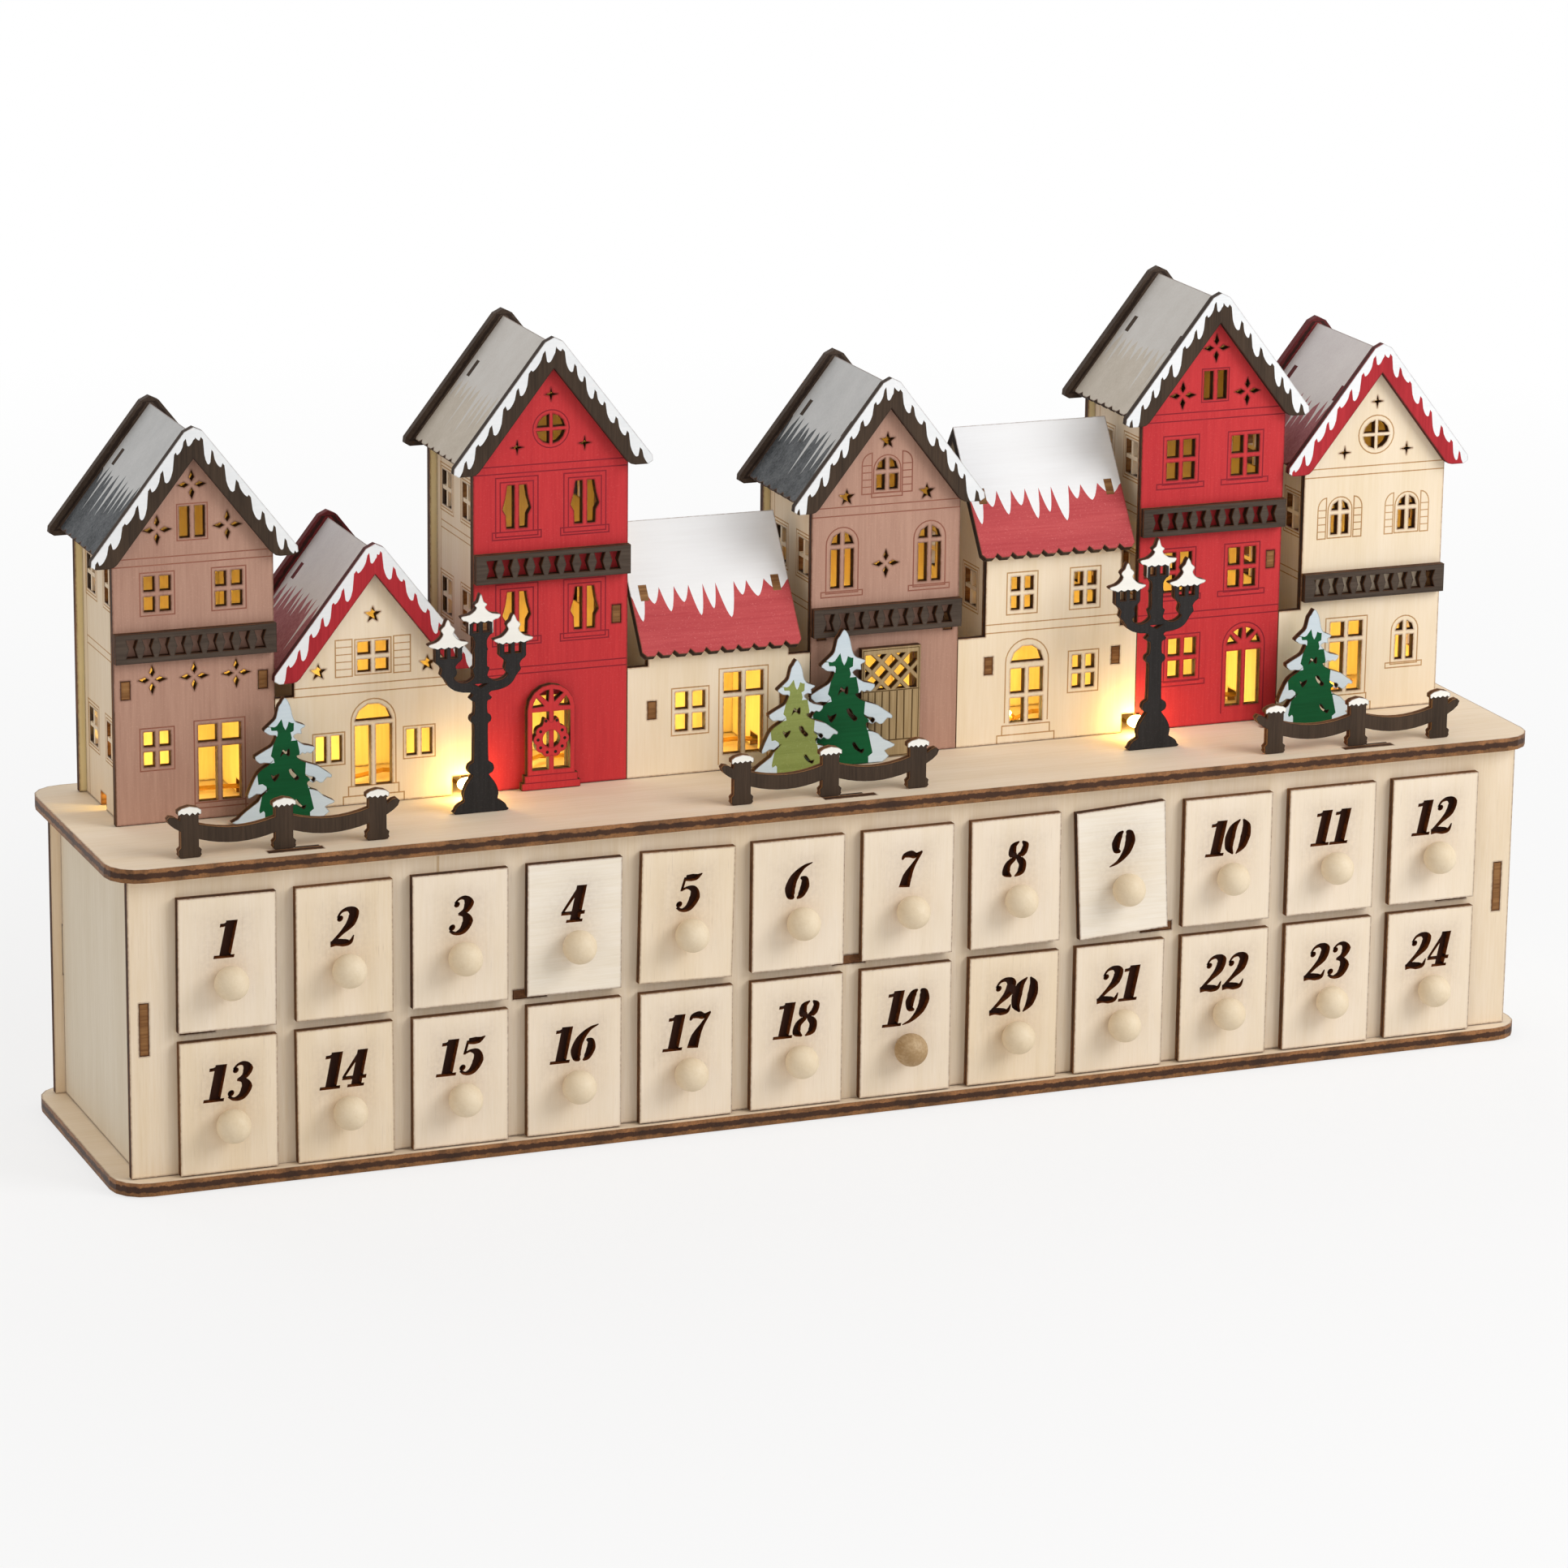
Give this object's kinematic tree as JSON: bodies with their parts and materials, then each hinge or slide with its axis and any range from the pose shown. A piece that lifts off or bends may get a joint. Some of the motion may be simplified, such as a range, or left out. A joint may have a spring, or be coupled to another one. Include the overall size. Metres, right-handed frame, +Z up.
{
  "type": "led advent calendar",
  "caption": "Long plywood box with rows of small numbered pull-out drawers, carrying a lit street of snow-capped gabled houses with fences, lamps and trees.",
  "frame": {"origin": "middle of the base plate's underside", "axes": "+X to the right seen from the drawers, +Y to the back, +Z up"},
  "size_m": [0.45, 0.1018, 0.2323],
  "materials": {
    "birch_ply": "smooth laser-cut plywood with dark edges",
    "drawer_ply": "smooth laser-cut plywood with dark edges",
    "painted_fronts": "plywood painted cream, dusty rose or red house by house",
    "slate_roof": "plywood painted slate grey with white snow",
    "wine_roof": "plywood painted wine red with white snow",
    "stone_roof": "plywood painted stone grey with white snow",
    "red_roof": "plywood painted cherry red with white snow",
    "brown_stain": "plywood stained dark brown",
    "red_paint": "plywood painted red",
    "door_stain": "plywood stained grey-tan",
    "black_paint": "plywood painted matt black with white caps",
    "dark_green_paint": "plywood painted dark green with snow patches",
    "light_green_paint": "plywood painted light green with snow patches",
    "copper_wire": "thin enamelled wire with small clear bulbs",
    "white_plastic": "satin white plastic",
    "black_plastic": "satin black plastic"
  },
  "bodies": {
    "case": {"base_plate": "birch_ply", "top_plate": "birch_ply", "box_front": "birch_ply", "rack_and_back": "birch_ply", "box_side_left": "birch_ply", "box_side_right": "birch_ply", "village_front": "painted_fronts", "village_back": "birch_ply", "house_1_shell": "slate_roof", "house_2_shell": "wine_roof", "house_3_shell": "stone_roof", "house_4_shell": "red_roof", "house_5_shell": "slate_roof", "house_6_shell": "red_roof", "house_7_shell": "stone_roof", "house_8_shell": "wine_roof", "balcony_1": "brown_stain", "balcony_3": "brown_stain", "balcony_5": "brown_stain", "balcony_7": "brown_stain", "balcony_8": "brown_stain", "wreath_door": "red_paint", "stable_door": "door_stain", "fence_left": "brown_stain", "fence_middle": "brown_stain", "fence_right": "brown_stain", "lamp_left": "black_paint", "lamp_right": "black_paint", "tree_left": "dark_green_paint", "tree_light_green": "light_green_paint", "tree_middle": "dark_green_paint", "tree_right": "dark_green_paint", "led_string": "copper_wire", "battery_case": "white_plastic"},
    "drawer_01": {"drawer_01": "drawer_ply"},
    "drawer_02": {"drawer_02": "drawer_ply"},
    "drawer_03": {"drawer_03": "drawer_ply"},
    "drawer_04": {"drawer_04": "drawer_ply"},
    "drawer_05": {"drawer_05": "drawer_ply"},
    "drawer_06": {"drawer_06": "drawer_ply"},
    "drawer_07": {"drawer_07": "drawer_ply"},
    "drawer_08": {"drawer_08": "drawer_ply"},
    "drawer_09": {"drawer_09": "drawer_ply"},
    "drawer_10": {"drawer_10": "drawer_ply"},
    "drawer_11": {"drawer_11": "drawer_ply"},
    "drawer_12": {"drawer_12": "drawer_ply"},
    "drawer_13": {"drawer_13": "drawer_ply"},
    "drawer_14": {"drawer_14": "drawer_ply"},
    "drawer_15": {"drawer_15": "drawer_ply"},
    "drawer_16": {"drawer_16": "drawer_ply"},
    "drawer_17": {"drawer_17": "drawer_ply"},
    "drawer_18": {"drawer_18": "drawer_ply"},
    "drawer_19": {"drawer_19": "drawer_ply"},
    "drawer_20": {"drawer_20": "drawer_ply"},
    "drawer_21": {"drawer_21": "drawer_ply"},
    "drawer_22": {"drawer_22": "drawer_ply"},
    "drawer_23": {"drawer_23": "drawer_ply"},
    "drawer_24": {"drawer_24": "drawer_ply"},
    "battery_lid": {"battery_lid": "white_plastic"},
    "switch_slider": {"switch_slider": "black_plastic"}
  },
  "joints": [
    {"name": "drawer_01_slide", "type": "slide", "parent": "case", "child": "drawer_01", "axis": [0, -1, 0], "range_m": [0, 0.045]},
    {"name": "drawer_02_slide", "type": "slide", "parent": "case", "child": "drawer_02", "axis": [0, -1, 0], "range_m": [0, 0.045]},
    {"name": "drawer_03_slide", "type": "slide", "parent": "case", "child": "drawer_03", "axis": [0, -1, 0], "range_m": [0, 0.045]},
    {"name": "drawer_04_slide", "type": "slide", "parent": "case", "child": "drawer_04", "axis": [0, -1, 0], "range_m": [0, 0.045]},
    {"name": "drawer_05_slide", "type": "slide", "parent": "case", "child": "drawer_05", "axis": [0, -1, 0], "range_m": [0, 0.045]},
    {"name": "drawer_06_slide", "type": "slide", "parent": "case", "child": "drawer_06", "axis": [0, -1, 0], "range_m": [0, 0.045]},
    {"name": "drawer_07_slide", "type": "slide", "parent": "case", "child": "drawer_07", "axis": [0, -1, 0], "range_m": [0, 0.045]},
    {"name": "drawer_08_slide", "type": "slide", "parent": "case", "child": "drawer_08", "axis": [0, -1, 0], "range_m": [0, 0.045]},
    {"name": "drawer_09_slide", "type": "slide", "parent": "case", "child": "drawer_09", "axis": [0, -1, 0], "range_m": [0, 0.045]},
    {"name": "drawer_10_slide", "type": "slide", "parent": "case", "child": "drawer_10", "axis": [0, -1, 0], "range_m": [0, 0.045]},
    {"name": "drawer_11_slide", "type": "slide", "parent": "case", "child": "drawer_11", "axis": [0, -1, 0], "range_m": [0, 0.045]},
    {"name": "drawer_12_slide", "type": "slide", "parent": "case", "child": "drawer_12", "axis": [0, -1, 0], "range_m": [0, 0.045]},
    {"name": "drawer_13_slide", "type": "slide", "parent": "case", "child": "drawer_13", "axis": [0, -1, 0], "range_m": [0, 0.045]},
    {"name": "drawer_14_slide", "type": "slide", "parent": "case", "child": "drawer_14", "axis": [0, -1, 0], "range_m": [0, 0.045]},
    {"name": "drawer_15_slide", "type": "slide", "parent": "case", "child": "drawer_15", "axis": [0, -1, 0], "range_m": [0, 0.045]},
    {"name": "drawer_16_slide", "type": "slide", "parent": "case", "child": "drawer_16", "axis": [0, -1, 0], "range_m": [0, 0.045]},
    {"name": "drawer_17_slide", "type": "slide", "parent": "case", "child": "drawer_17", "axis": [0, -1, 0], "range_m": [0, 0.045]},
    {"name": "drawer_18_slide", "type": "slide", "parent": "case", "child": "drawer_18", "axis": [0, -1, 0], "range_m": [0, 0.045]},
    {"name": "drawer_19_slide", "type": "slide", "parent": "case", "child": "drawer_19", "axis": [0, -1, 0], "range_m": [0, 0.045]},
    {"name": "drawer_20_slide", "type": "slide", "parent": "case", "child": "drawer_20", "axis": [0, -1, 0], "range_m": [0, 0.045]},
    {"name": "drawer_21_slide", "type": "slide", "parent": "case", "child": "drawer_21", "axis": [0, -1, 0], "range_m": [0, 0.045]},
    {"name": "drawer_22_slide", "type": "slide", "parent": "case", "child": "drawer_22", "axis": [0, -1, 0], "range_m": [0, 0.045]},
    {"name": "drawer_23_slide", "type": "slide", "parent": "case", "child": "drawer_23", "axis": [0, -1, 0], "range_m": [0, 0.045]},
    {"name": "drawer_24_slide", "type": "slide", "parent": "case", "child": "drawer_24", "axis": [0, -1, 0], "range_m": [0, 0.045]},
    {"name": "lid_slide", "type": "slide", "parent": "case", "child": "battery_lid", "axis": [1, 0, 0], "range_m": [0, 0.03]},
    {"name": "switch_slide", "type": "slide", "parent": "case", "child": "switch_slider", "axis": [1, 0, 0], "range_m": [0, 0.0036]}
  ]
}
